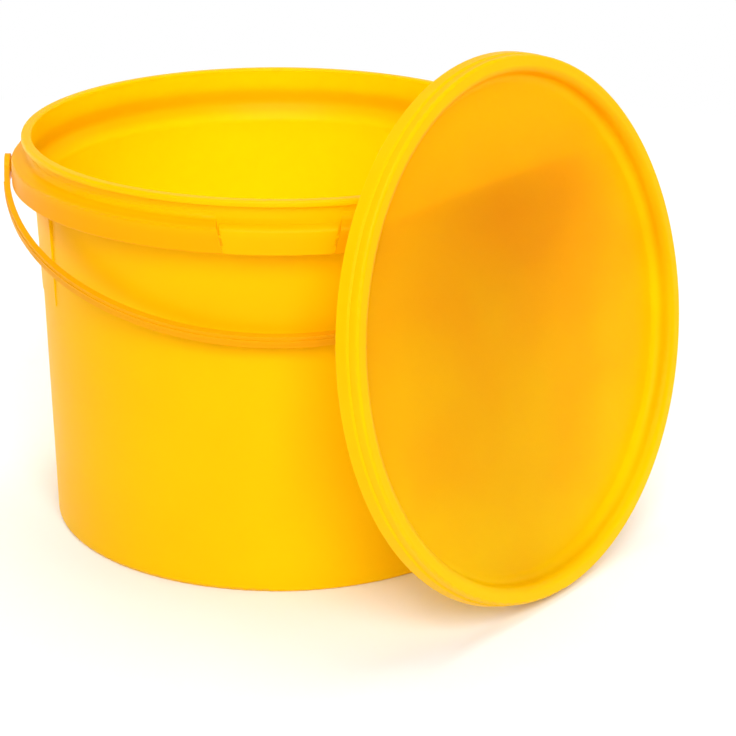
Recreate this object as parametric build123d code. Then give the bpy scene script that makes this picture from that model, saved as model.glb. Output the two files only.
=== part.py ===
from build123d import *
import os
from math import acos, cos, degrees, radians, sin

# Round moulded bucket with a bail handle, a tear-off tab on its collar and a press-on lid.
# The bucket stands on the floor with its axis on Z and its front towards -Y. The handle hangs
# at the front, and the lid stands on its edge in front of the bucket, leaning back beside it.
# All sizes are in millimetres.

# Bucket: heights are measured down from the top of the rim, except those of the base
bucket_height = 208.0
rim_radius = 132.0
rim_lip = 3.6
rim_depth = 3.2
rim_round = 1.3
wall = 1.6
shoulder_step = 3.5
shoulder_depth = 29.0
shoulder_rise = 10.0
shoulder_round = 8.0
base_radius = 119.5
base_thickness = 1.8
base_round = 2.2
inner_base_round = 4.0
foot_height = 2.0
foot_width = 8.0
foot_draft = 1.0

# Collar: a skirt that hangs from a sloping shelf round the neck and carries the handle
collar_overhang = 9.0
collar_thickness = 1.4
collar_top = 10.0
collar_fall = 3.0
collar_round = 1.2
collar_blend = 2.6
blend_proud = 0.15
collar_bottom = 25.0
collar_edge = 0.4
shelf_thickness = 1.6
weld_depth = 0.8
cut_over = 1.0

# Webs behind the collar at both sides of each handle end, and a raised pad on the wall below
web_angle = 29.0
web_thickness = 1.5
web_bottom = 19.0
pad_half_angle = 24.0
pad_proud_top = 1.4
pad_proud_bottom = 0.5
pad_bottom = 80.0

# Tear-off tab in the front of the collar, held by thin bridges across two slanted slits
tab_width_top = 55.6
tab_width_bottom = 50.0
tab_back_gap = 3.6
slit = 1.3
bridge_gap = 0.1
bridge_inset = 0.25
upper_bridge_depth = 15.9
upper_bridge_height = 1.3
lower_bridge_depth = 21.0
lower_bridge_height = 3.4

# Bail handle: a half-round flat strap with an outer rib and a split peg at each end
pivot_depth = 20.5
bail_hang = 20.6
bail_width = 6.8
bail_thickness = 2.8
bail_gap = 1.1
bail_wall_gap = 0.4
drop_solve_steps = 50
rib_width = 2.2
rib_height = 0.4
rib_end_angle = 6.0
eye_radius = 6.6
peg_radius = 3.0
peg_clearance = 0.1
peg_head_radius = 4.2
peg_tip_radius = 3.1
peg_head_length = 1.6
peg_head_gap = 0.4
peg_split = 0.9
peg_split_depth = 4.0

# Lid: depths are measured down from its top. A rounded crown covers the rim, and inside it a plug
# that seals the neck runs down to a sunk panel, which takes the foot of a bucket stacked on top.
seat_depth = 2.2
rim_fit = 0.2
channel_wall = 1.8
channel_round = 1.3
crown_round = 1.4
crown_inner_round = 4.0
skirt_step = 1.0
skirt_step_depth = 5.2
skirt_step_drop = 0.8
skirt_flare = 0.8
skirt_thickness = 1.4
skirt_depth = 11.8
skirt_round = 0.45
hook_bite = 0.6
hook_height = 0.6
hook_slope = 0.6
hook_back = 2.4
plug_fit = 0.4
plug_thickness = 1.1
recess_depth = 9.8
recess_draft = 0.6
recess_round = 5.0
panel_thickness = 1.3

# Where the lid leans: turned to the right of the front, tilted back, beside the rim
lid_facing = 49.8
lid_lean = 10.5
lid_side_shift = -4.95
lid_lean_gap = 8.97
lid_floor_gap = 0.05

# Radii and heights that follow from the sizes above
neck_radius = rim_radius - rim_lip
neck_inner_radius = neck_radius - wall
shoulder_radius = neck_radius - shoulder_step
collar_radius = neck_radius + collar_overhang
collar_inner_radius = collar_radius - collar_thickness
collar_root = neck_radius - weld_depth
shoulder_z = bucket_height - shoulder_depth
neck_z = shoulder_z + shoulder_rise
collar_top_z = bucket_height - collar_top
blend_top_z = collar_top_z + collar_blend
collar_crown_z = collar_top_z - collar_fall
collar_bottom_z = bucket_height - collar_bottom
pivot_z = bucket_height - pivot_depth
bail_inner_radius = collar_radius + bail_gap
bail_outer_radius = bail_inner_radius + bail_thickness


def wall_radius(z):
    """Outer radius of the tapered wall at a height above the floor."""
    return base_radius + (shoulder_radius - base_radius) * z / shoulder_z


def turned(profile, half_angle=180.0, facing=0.0):
    """Turn a closed outline of (radius, height, corner rounding) about Z.

    Less than a full turn is a sector, centred on the facing angle from +X.
    """
    points = [(r, z) for r, z, rounding in profile]
    roundings = [rounding for r, z, rounding in profile]
    outline = FilletPolyline(*points, radius=roundings, close=True)
    face = Plane.XZ * make_face(outline)
    return Rot(0, 0, facing - half_angle) * revolve(face, Axis.Z, 2 * half_angle)


def ring(inner, outer, bottom, top, half_angle=180.0, facing=0.0):
    """A ring, or a sector of one, of rectangular section."""
    outline = [(inner, bottom, 0), (outer, bottom, 0), (outer, top, 0), (inner, top, 0)]
    return turned(outline, half_angle, facing)


def front_wedge(extra, bottom, top):
    """The slanted-sided block that the tab is cut to, wider by extra on each side."""
    slope = (tab_width_top - tab_width_bottom) / 2 / (collar_crown_z - collar_bottom_z)

    def half_width(z):
        return tab_width_bottom / 2 + slope * (z - collar_bottom_z) + extra

    outline = Polyline(
        (-half_width(bottom), bottom),
        (half_width(bottom), bottom),
        (half_width(top), top),
        (-half_width(top), top),
        close=True,
    )
    return extrude(Plane.XZ * make_face(outline), amount=2 * rim_radius)


def bucket_wall():
    """Base, tapered wall, shoulder, neck and rim as one turned shell."""
    foot_inner = base_radius - foot_width
    floor_top = foot_height + base_thickness
    return turned([
        (0, foot_height, 0),
        (foot_inner - foot_draft, foot_height, 0),
        (foot_inner, 0, 0),
        (base_radius, 0, base_round),
        (shoulder_radius, shoulder_z, shoulder_round),
        (neck_radius, neck_z, shoulder_round),
        (neck_radius, bucket_height - rim_depth, 0),
        (rim_radius, bucket_height - rim_depth, rim_round / 2),
        (rim_radius, bucket_height, rim_round),
        (neck_inner_radius, bucket_height, rim_round),
        (neck_inner_radius, neck_z, shoulder_round),
        (shoulder_radius - wall, shoulder_z, shoulder_round),
        (wall_radius(floor_top) - wall, floor_top, inner_base_round),
        (0, floor_top, 0),
    ])


def shelf_z(radius):
    """Height of the sloping top of the collar's shelf at a radius."""
    return collar_top_z - collar_fall * (radius - collar_root) / (collar_radius - collar_root)


def collar_skirt():
    """The shelf that blends out of the neck and the skirt that hangs from it, open below."""
    blend_radius = neck_radius + blend_proud
    return turned([
        (collar_root, blend_top_z + weld_depth, 0),
        (collar_root, collar_top_z - shelf_thickness, 0),
        (collar_inner_radius, collar_crown_z - shelf_thickness, collar_round / 2),
        (collar_inner_radius, collar_bottom_z, 0),
        (collar_radius - collar_edge, collar_bottom_z, 0),
        (collar_radius, collar_bottom_z + collar_edge, 0),
        (collar_radius, collar_crown_z, collar_round),
        (blend_radius, shelf_z(blend_radius), collar_blend),
        (blend_radius, blend_top_z, 0),
    ])


def collar_web(facing):
    """An upright web that ties the skirt to the neck behind the collar."""
    bottom = bucket_height - web_bottom
    outer = collar_inner_radius + collar_thickness / 2
    return turned([
        (collar_root, bottom, 0),
        (outer, bottom, 0),
        (outer, shelf_z(outer) - shelf_thickness / 2, 0),
        (collar_root, collar_top_z - shelf_thickness / 2, 0),
    ], degrees(web_thickness / 2 / collar_radius), facing)


def peg_hole(facing):
    """The hole through the skirt for one of the handle's pegs."""
    middle = collar_radius - collar_thickness / 2
    drill = Cylinder(peg_radius + peg_clearance, 4 * collar_thickness, rotation=(0, 90, 0))
    return Rot(0, 0, facing) * Pos(middle, 0, pivot_z) * drill


def wall_pad(facing):
    """The raised patch on the wall under one end of the handle, running out into the shoulder."""
    bottom = bucket_height - pad_bottom
    return turned([
        (shoulder_radius - weld_depth, shoulder_z, 0),
        (wall_radius(bottom) - weld_depth, bottom, 0),
        (wall_radius(bottom) + pad_proud_bottom, bottom, 0),
        (shoulder_radius + pad_proud_top, shoulder_z, 0),
        (shoulder_radius + shoulder_step / 2 - weld_depth, shoulder_z + shoulder_rise / 2, 0),
    ], pad_half_angle, facing)


def bucket():
    """The whole bucket moulding, with a gap in the collar for the tab."""
    collar = collar_skirt()
    for facing in (0, 180):
        for side in (-web_angle, web_angle):
            collar += collar_web(facing + side)
        collar -= peg_hole(facing)
    collar -= front_wedge(slit, collar_bottom_z - cut_over, blend_top_z + weld_depth + cut_over)
    body = bucket_wall() + collar
    for facing in (0, 180):
        body += wall_pad(facing)
    return body


def tear_tab():
    """The curved tab between the slits, with the bridges that hold it to the collar."""
    front = 270.0
    half_angle = degrees(tab_width_top / collar_inner_radius)
    back = neck_radius + tab_back_gap
    strip = turned([
        (back, shelf_z(back), 0),
        (back, shelf_z(back) - shelf_thickness, 0),
        (collar_inner_radius, collar_crown_z - shelf_thickness, 0),
        (collar_inner_radius, collar_bottom_z, 0),
        (collar_radius - collar_edge, collar_bottom_z, 0),
        (collar_radius, collar_bottom_z + collar_edge, 0),
        (collar_radius, collar_crown_z, collar_round),
    ], half_angle, front)
    tab = strip & front_wedge(0, collar_bottom_z - cut_over, collar_top_z + cut_over)
    bridges = (
        (upper_bridge_depth, upper_bridge_height),
        (lower_bridge_depth, lower_bridge_height),
    )
    for depth, height in bridges:
        top = bucket_height - depth
        inner = collar_inner_radius + bridge_inset
        outer = collar_radius - bridge_inset
        bridge = ring(inner, outer, top - height, top, half_angle, front)
        tab += bridge & front_wedge(slit - bridge_gap, top - height - cut_over, top + cut_over)
    return tab


def bail_drop_angle():
    """How far below level the handle can drop, until its lower inner edge meets the wall."""
    half_width = bail_width / 2
    angle = 0.0
    for _ in range(drop_solve_steps):
        edge_z = pivot_z - bail_inner_radius * sin(angle) - half_width * cos(angle)
        edge_out = wall_radius(edge_z) + bail_wall_gap + half_width * sin(angle)
        angle = acos(edge_out / bail_inner_radius)
    return degrees(angle)


def bail_end(side):
    """The round eye and the split peg at one end; side is 1 on the right and -1 on the left."""
    across = (0, 90, 0)
    eye_middle = bail_inner_radius + bail_thickness / 2
    head_outer = collar_inner_radius - peg_head_gap
    head_inner = head_outer - peg_head_length
    shaft_length = eye_middle - head_inner
    eye = Pos(eye_middle, 0, 0) * Cylinder(eye_radius, bail_thickness, rotation=across)
    shaft = Pos(head_inner + shaft_length / 2, 0, 0) * Cylinder(peg_radius, shaft_length, rotation=across)
    head = Pos((head_inner + head_outer) / 2, 0, 0) * Cone(
        peg_tip_radius, peg_head_radius, peg_head_length, rotation=across
    )
    split_depth = min(peg_split_depth, bail_inner_radius - head_inner)
    split = Pos(head_inner + split_depth / 2, 0, 0) * Box(split_depth, peg_split, 2 * eye_radius)
    end = eye + (shaft + head - split)
    return end if side > 0 else mirror(end, Plane.YZ)


def bail_handle():
    """The handle, hanging at the front of the bucket."""
    front = 270.0
    half_width = bail_width / 2
    half_rib = rib_width / 2
    strap = ring(bail_inner_radius, bail_outer_radius, -half_width, half_width, 90, front)
    rib_radius = bail_outer_radius + rib_height
    rib = ring(bail_inner_radius, rib_radius, -half_rib, half_rib, 90 - rib_end_angle, front)
    handle = strap + rib + bail_end(1) + bail_end(-1)
    return Pos(0, 0, pivot_z) * Rot(bail_hang, 0, 0) * handle


def lid_upright():
    """The lid with its axis on Z and its top at zero."""
    channel_outer = rim_radius + rim_fit
    channel_face = channel_outer + channel_wall
    step_outer = channel_face + skirt_step
    edge_radius = step_outer + skirt_flare
    hook_top = seat_depth + rim_depth + rim_fit
    hook_tip = hook_top + hook_slope
    hook_end = hook_tip + hook_height + hook_back
    step_end = skirt_step_depth + skirt_step_drop
    flare_rate = skirt_flare / (skirt_depth - step_end)
    skirt_inner = step_outer + flare_rate * (hook_end - step_end) - skirt_thickness
    plug_outer = neck_inner_radius - plug_fit
    recess_radius = plug_outer - plug_thickness
    panel_radius = recess_radius - recess_draft
    panel_back = recess_depth + panel_thickness
    return turned([
        (0, -recess_depth, 0),
        (panel_radius, -recess_depth, recess_round),
        (recess_radius, 0, crown_inner_round),
        (channel_face, 0, crown_round),
        (channel_face, -skirt_step_depth, 0),
        (step_outer, -step_end, skirt_step_drop / 2),
        (edge_radius, -skirt_depth, skirt_round),
        (edge_radius - skirt_thickness, -skirt_depth, skirt_round),
        (skirt_inner, -hook_end, 0),
        (rim_radius - hook_bite, -hook_tip - hook_height, 0),
        (rim_radius - hook_bite, -hook_tip, 0),
        (channel_outer, -hook_top, 0),
        (channel_outer, -seat_depth, 0),
        (plug_outer, -seat_depth, channel_round),
        (panel_radius + plug_thickness, -panel_back, recess_round + panel_thickness),
        (0, -panel_back, 0),
    ])


def lid_place():
    """The plane of the leaning lid's top."""
    lean = radians(lid_lean)
    edge_radius = rim_radius + rim_fit + channel_wall + skirt_step + skirt_flare
    height = skirt_depth * sin(lean) + edge_radius * cos(lean) + lid_floor_gap
    behind = recess_depth + panel_thickness + lid_lean_gap
    out = rim_radius + (behind + (bucket_height - height) * sin(lean)) / cos(lean)
    facing = radians(lid_facing)
    out_way = Vector(sin(facing), -cos(facing), 0)
    side_way = Vector(cos(facing), sin(facing), 0)
    centre = out_way * out + side_way * lid_side_shift + Vector(0, 0, height)
    normal = out_way * cos(lean) + Vector(0, 0, sin(lean))
    return Plane(origin=centre, x_dir=side_way, z_dir=normal)


def lid():
    """The lid, standing on its open edge and leaning back."""
    return lid_place() * lid_upright()


os.makedirs("parts", exist_ok=True)
nodes = {"bucket": bucket(), "tear_tab": tear_tab(), "bail_handle": bail_handle(), "lid": lid()}
for name, shape in nodes.items():
    export_step(shape, f"parts/{name}.step")
print("handle pivot height", pivot_z, "hangs at", bail_hang, "drops to", bail_drop_angle())
print("lid centre", lid_place().origin, "normal", lid_place().z_dir)
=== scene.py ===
from math import cos, sin

import bpy
from mathutils import Matrix, Vector

# A round moulded pail with its lid leaning beside it, on a white sheet.
# Everything is in metres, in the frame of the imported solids.
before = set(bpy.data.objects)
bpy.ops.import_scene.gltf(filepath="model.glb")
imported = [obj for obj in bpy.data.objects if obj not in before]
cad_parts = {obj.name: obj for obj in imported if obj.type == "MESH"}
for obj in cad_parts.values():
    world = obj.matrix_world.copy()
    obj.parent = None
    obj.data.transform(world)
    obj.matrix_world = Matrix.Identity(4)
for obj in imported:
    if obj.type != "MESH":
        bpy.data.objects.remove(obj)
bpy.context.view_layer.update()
scene = bpy.context.scene
mm = 0.001

# Patterns in the moulded plastic: the melt's cloudy patches, patches of more or less polish, the
# crests of a wall that shrank unevenly, and the height over which painted light turns the colour paler
flow_patch = 70 * mm
polish_patch = 18 * mm
wave_length = 35 * mm
painted_glow_height = 220 * mm

# The middle of the leaning lid's top, and the way that it faces
lid_centre = (0.123448, -0.110802, 0.135726)
lid_axis = (0.751006, -0.634649, 0.182236)


def shade(hex_colour):
    """A written sRGB colour as linear RGBA."""
    parts = [int(hex_colour[i:i + 2], 16) / 255 for i in (0, 2, 4)]
    linear = [p / 12.92 if p <= 0.04045 else ((p + 0.055) / 1.055) ** 2.4 for p in parts]
    return (*linear, 1.0)


def put(tree, kind, inputs=None, **settings):
    """Adds one node. Inputs are plain values, or sockets of other nodes to link from."""
    new = tree.nodes.new(kind)
    for name, value in settings.items():
        setattr(new, name, value)
    for name, value in (inputs or {}).items():
        if isinstance(value, bpy.types.NodeSocket):
            tree.links.new(value, new.inputs[name])
        else:
            new.inputs[name].default_value = value
    return new


def fresh_material(name):
    """An empty material and its node tree."""
    material = bpy.data.materials.new(name)
    material.use_nodes = True
    material.node_tree.nodes.clear()
    return material, material.node_tree


def outer_zone(tree, place, centre, axis, start, full):
    """Rises from zero to one between two distances from an axis."""
    arm = put(tree, "ShaderNodeVectorMath", {0: place, 1: centre}, operation="SUBTRACT")
    turned = put(tree, "ShaderNodeVectorMath", {0: arm.outputs[0], 1: axis}, operation="CROSS_PRODUCT")
    radius = put(tree, "ShaderNodeVectorMath", {0: turned.outputs[0]}, operation="LENGTH")
    return put(tree, "ShaderNodeMapRange", {
        "Value": radius.outputs["Value"], "From Min": start, "From Max": full}).outputs[0]


def moulded_polypropylene(name, skin_colours, glow_colours, roughness, bump_mm, see_through, zone=None):
    """Injection-moulded polypropylene, dyed through and left translucent.

    The dye lets red and green through and stops blue, so thin walls glow warm yellow with light
    behind them and turn orange where they double up. The skin is satin, a little uneven from the
    mould's flow, with soft wide highlights that stay warm. Each pair of colours is for the top of
    the piece and for its foot, and a paler foot colour is painted light on the lower part. A zone is
    the outer part of a piece, whose own colour is painted shade on the pail's collar and painted light
    on the lid's crown.
    """
    material, tree = fresh_material(name)
    place = put(tree, "ShaderNodeTexCoord").outputs["Object"]
    # Flow of the melt, and painted light that makes the colour a little paler towards the floor
    flow = put(tree, "ShaderNodeTexNoise", {"Vector": place, "Scale": 1 / flow_patch, "Detail": 2.0})
    height = put(tree, "ShaderNodeSeparateXYZ", {"Vector": place}).outputs["Z"]
    low = put(tree, "ShaderNodeMapRange", {
        "Value": height, "From Max": painted_glow_height, "To Min": 0.5, "To Max": -0.5})
    cloud_and_painted_glow = put(tree, "ShaderNodeMath", {
        0: flow.outputs["Fac"], 1: low.outputs[0]}, operation="ADD", use_clamp=True)
    skin_colour, glow_colour = [
        put(tree, "ShaderNodeMix", {
            0: cloud_and_painted_glow.outputs[0], 6: shade(top), 7: shade(foot)}, data_type="RGBA").outputs[2]
        for top, foot in (skin_colours, glow_colours)]
    clear = see_through
    if zone:
        outer = outer_zone(tree, place, zone["centre"], zone["axis"], zone["start"], zone["full"])
        skin_colour = put(tree, "ShaderNodeMix", {
            0: outer, 6: skin_colour, 7: shade(zone["colour"])}, data_type="RGBA").outputs[2]
        clear = put(tree, "ShaderNodeMapRange", {
            "Value": outer, "To Min": see_through, "To Max": zone["see_through"]}).outputs[0]
    # Satin skin, in patches where the mould's polish differs
    polish = put(tree, "ShaderNodeTexNoise", {"Vector": place, "Scale": 1 / polish_patch, "Detail": 3.0})
    rough = put(tree, "ShaderNodeMapRange", {
        "Value": polish.outputs["Fac"], "To Min": roughness - 0.05, "To Max": roughness + 0.07})
    # Shrinkage leaves the wall slightly wavy
    waves = put(tree, "ShaderNodeTexNoise", {"Vector": place, "Scale": 1 / wave_length, "Detail": 1.0})
    wavy = put(tree, "ShaderNodeBump", {
        "Height": waves.outputs["Fac"], "Strength": 1.0, "Distance": bump_mm * mm})
    skin = put(tree, "ShaderNodeBsdfPrincipled", {
        "Base Color": skin_colour, "Roughness": rough.outputs[0], "IOR": 1.49,
        "Specular IOR Level": 0.12, "Specular Tint": shade("FFE9A0"), "Normal": wavy.outputs[0]})
    glow = put(tree, "ShaderNodeBsdfTranslucent", {"Color": glow_colour, "Normal": wavy.outputs[0]})
    both = put(tree, "ShaderNodeMixShader", {0: clear, 1: skin.outputs[0], 2: glow.outputs[0]})
    put(tree, "ShaderNodeOutputMaterial", {"Surface": both.outputs[0]})
    return material


def dress(node, material):
    """Gives a CAD node its material."""
    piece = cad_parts[node]
    piece.data.materials.clear()
    piece.data.materials.append(material)


# The collar hangs in front of the neck, and its outer part is painted a darker orange: painted shade for
# the light that the two walls together hold back
collar_zone = {
    "colour": "F0AE02", "see_through": 0.46,
    "centre": (0, 0, 0), "axis": (0, 0, 1), "start": 132.4 * mm, "full": 134 * mm}
# The pail's foot colour is paler than its top colour: painted light on the lower wall
dress("bucket", moulded_polypropylene(
    "satin_translucent_polypropylene", ("F0BA02", "F4CA04"), ("F4DE20", "F4DE20"),
    roughness=0.36, bump_mm=0.15, see_through=0.46, zone=collar_zone))

# The tab is cut free of the neck, so light gets behind it, and it is painted paler than the collar:
# painted light for that glow
dress("tear_tab", moulded_polypropylene(
    "tab_polypropylene", ("F2BE02", "F4CA04"), ("F4DE20", "F4DE20"),
    roughness=0.36, bump_mm=0.05, see_through=0.46))

# The handle's strap is thicker than a wall, so it lets less light through and is more orange
dress("bail_handle", moulded_polypropylene(
    "handle_polypropylene", ("E8A806", "ECAE08"), ("ECCA20", "ECCA20"),
    roughness=0.38, bump_mm=0.05, see_through=0.35))

# The lid's thin panel lets the most light through; its crown and skirt let less of it through, and their
# paler yellow is painted light
crown_zone = {
    "colour": "F4C804", "see_through": 0.45,
    "centre": lid_centre, "axis": lid_axis, "start": 125.5 * mm, "full": 129 * mm}
dress("lid", moulded_polypropylene(
    "glossy_translucent_polypropylene", ("E4A202", "E4BE04"), ("EECA1C", "F0E020"),
    roughness=0.35, bump_mm=0.2, see_through=0.66, zone=crown_zone))


def seen_directly(tree):
    """One for rays from the camera, a reflection or light through plastic, zero for other light."""
    path = put(tree, "ShaderNodeLightPath")
    shown = put(tree, "ShaderNodeMath", {
        0: path.outputs["Is Camera Ray"], 1: path.outputs["Is Glossy Ray"]}, operation="MAXIMUM")
    return put(tree, "ShaderNodeMath", {
        0: shown.outputs[0], 1: path.outputs["Is Transmission Ray"]}, operation="MAXIMUM")


def white_paper(near_edge, far_edge):
    """Matt white paper, lit enough to lose its edge, and plain white from the far edge on."""
    material, tree = fresh_material("white_paper")
    matt = put(tree, "ShaderNodeBsdfDiffuse", {"Color": shade("F4F4F2")})
    lift = put(tree, "ShaderNodeEmission", {"Color": shade("FFFFFF"), "Strength": 0.28})
    lit = put(tree, "ShaderNodeAddShader", {0: matt.outputs[0], 1: lift.outputs[0]})
    shown = seen_directly(tree)
    bounced = put(tree, "ShaderNodeMixShader", {
        0: shown.outputs[0], 1: matt.outputs[0], 2: lit.outputs[0]})
    # The camera sees it just short of burnt out near the pail, so the warm shadow still tints it,
    # and plain white farther off
    near = put(tree, "ShaderNodeBsdfDiffuse", {"Color": shade("E6E6E4")})
    far = put(tree, "ShaderNodeEmission", {"Color": shade("FFFFFF"), "Strength": 1.0})
    place = put(tree, "ShaderNodeTexCoord").outputs["Object"]
    away = put(tree, "ShaderNodeVectorMath", {0: place}, operation="LENGTH").outputs["Value"]
    fade = put(tree, "ShaderNodeMapRange", {
        "Value": away, "From Min": near_edge, "From Max": far_edge})
    photographed = put(tree, "ShaderNodeMixShader", {
        0: fade.outputs[0], 1: near.outputs[0], 2: far.outputs[0]})
    camera = put(tree, "ShaderNodeLightPath").outputs["Is Camera Ray"]
    top = put(tree, "ShaderNodeMixShader", {
        0: camera, 1: bounced.outputs[0], 2: photographed.outputs[0]})
    # From below there is no sheet, so that the pail's underside can be seen
    below = put(tree, "ShaderNodeBsdfTransparent")
    back = put(tree, "ShaderNodeNewGeometry").outputs["Backfacing"]
    pick = put(tree, "ShaderNodeMixShader", {0: back, 1: top.outputs[0], 2: below.outputs[0]})
    put(tree, "ShaderNodeOutputMaterial", {"Surface": pick.outputs[0]})
    return material


def white_sheet(half, level):
    """The sheet that the pail stands on, a hair below its foot."""
    mesh = bpy.data.meshes.new("sheet")
    corners = [(x * half, y * half, level) for x, y in ((-1, -1), (1, -1), (1, 1), (-1, 1))]
    mesh.from_pydata(corners, [], [(0, 1, 2, 3)])
    sheet = bpy.data.objects.new("sheet", mesh)
    sheet.data.materials.append(white_paper(near_edge=500 * mm, far_edge=900 * mm))
    scene.collection.objects.link(sheet)


def white_room(strength):
    """White all round: it lights at a plain level and shows as plain white."""
    world = bpy.data.worlds.new("white_room")
    scene.world = world
    world.use_nodes = True
    tree = world.node_tree
    tree.nodes.clear()
    light = put(tree, "ShaderNodeBackground", {"Color": shade("FFFFFF"), "Strength": strength})
    plain = put(tree, "ShaderNodeBackground", {"Color": shade("FFFFFF"), "Strength": 1.0})
    shown = seen_directly(tree)
    pick = put(tree, "ShaderNodeMixShader", {
        0: shown.outputs[0], 1: light.outputs[0], 2: plain.outputs[0]})
    put(tree, "ShaderNodeOutputWorld", {"Surface": pick.outputs[0]})


def softbox(name, place, wide, high, watts, mirrored=True):
    """A studio lamp that faces the pail. One that isn't mirrored leaves no highlight."""
    lamp = bpy.data.lights.new(name, "AREA")
    lamp.shape = "RECTANGLE"
    lamp.size = wide
    lamp.size_y = high
    lamp.energy = watts
    box = bpy.data.objects.new(name, lamp)
    scene.collection.objects.link(box)
    box.location = place
    middle_of_pail = Vector((0, 0, 0.12))
    box.rotation_euler = (middle_of_pail - box.location).to_track_quat("-Z", "Y").to_euler()
    box.visible_glossy = mirrored


def photo_camera():
    """A long lens in front of the pail, looking down at it and turned a little to the right."""
    pitch, yaw, roll = 0.3599, 0.0383, 0.0103
    focal_mm, sensor_mm = 121.12, 36.0
    stand = (0, -1.242, 0.5428)
    ahead = Vector((sin(yaw) * cos(pitch), cos(yaw) * cos(pitch), -sin(pitch)))
    level = Vector((cos(yaw), -sin(yaw), 0))
    up = level.cross(ahead)
    across = level * cos(roll) + up * sin(roll)
    over = up * cos(roll) - level * sin(roll)
    turn = Matrix((across, over, -ahead)).transposed().to_4x4()
    lens = bpy.data.cameras.new("photo_camera")
    lens.lens = focal_mm
    lens.sensor_width = sensor_mm
    camera = bpy.data.objects.new("photo_camera", lens)
    scene.collection.objects.link(camera)
    camera.matrix_world = Matrix.Translation(stand) @ turn
    scene.camera = camera


white_sheet(half=4.0, level=-0.2 * mm)
white_room(strength=0.06)
# Two boxes light the front and top, and three from behind make the walls glow
softbox("front_box", (0.05, -3.05, 2.33), wide=2.2, high=2.2, watts=180)
softbox("top_box", (0, 0.2, 2.2), wide=1.5, high=1.5, watts=24)
softbox("back_strip", (-0.4, 1.6, 0.2), wide=3.0, high=0.36, watts=47, mirrored=False)
softbox("left_back_box", (-1.7, 1.0, 0.7), wide=1.2, high=1.2, watts=8, mirrored=False)
softbox("right_back_box", (1.8, 1.4, 0.9), wide=1.6, high=1.6, watts=28, mirrored=False)
photo_camera()

scene.view_settings.view_transform = "Standard"
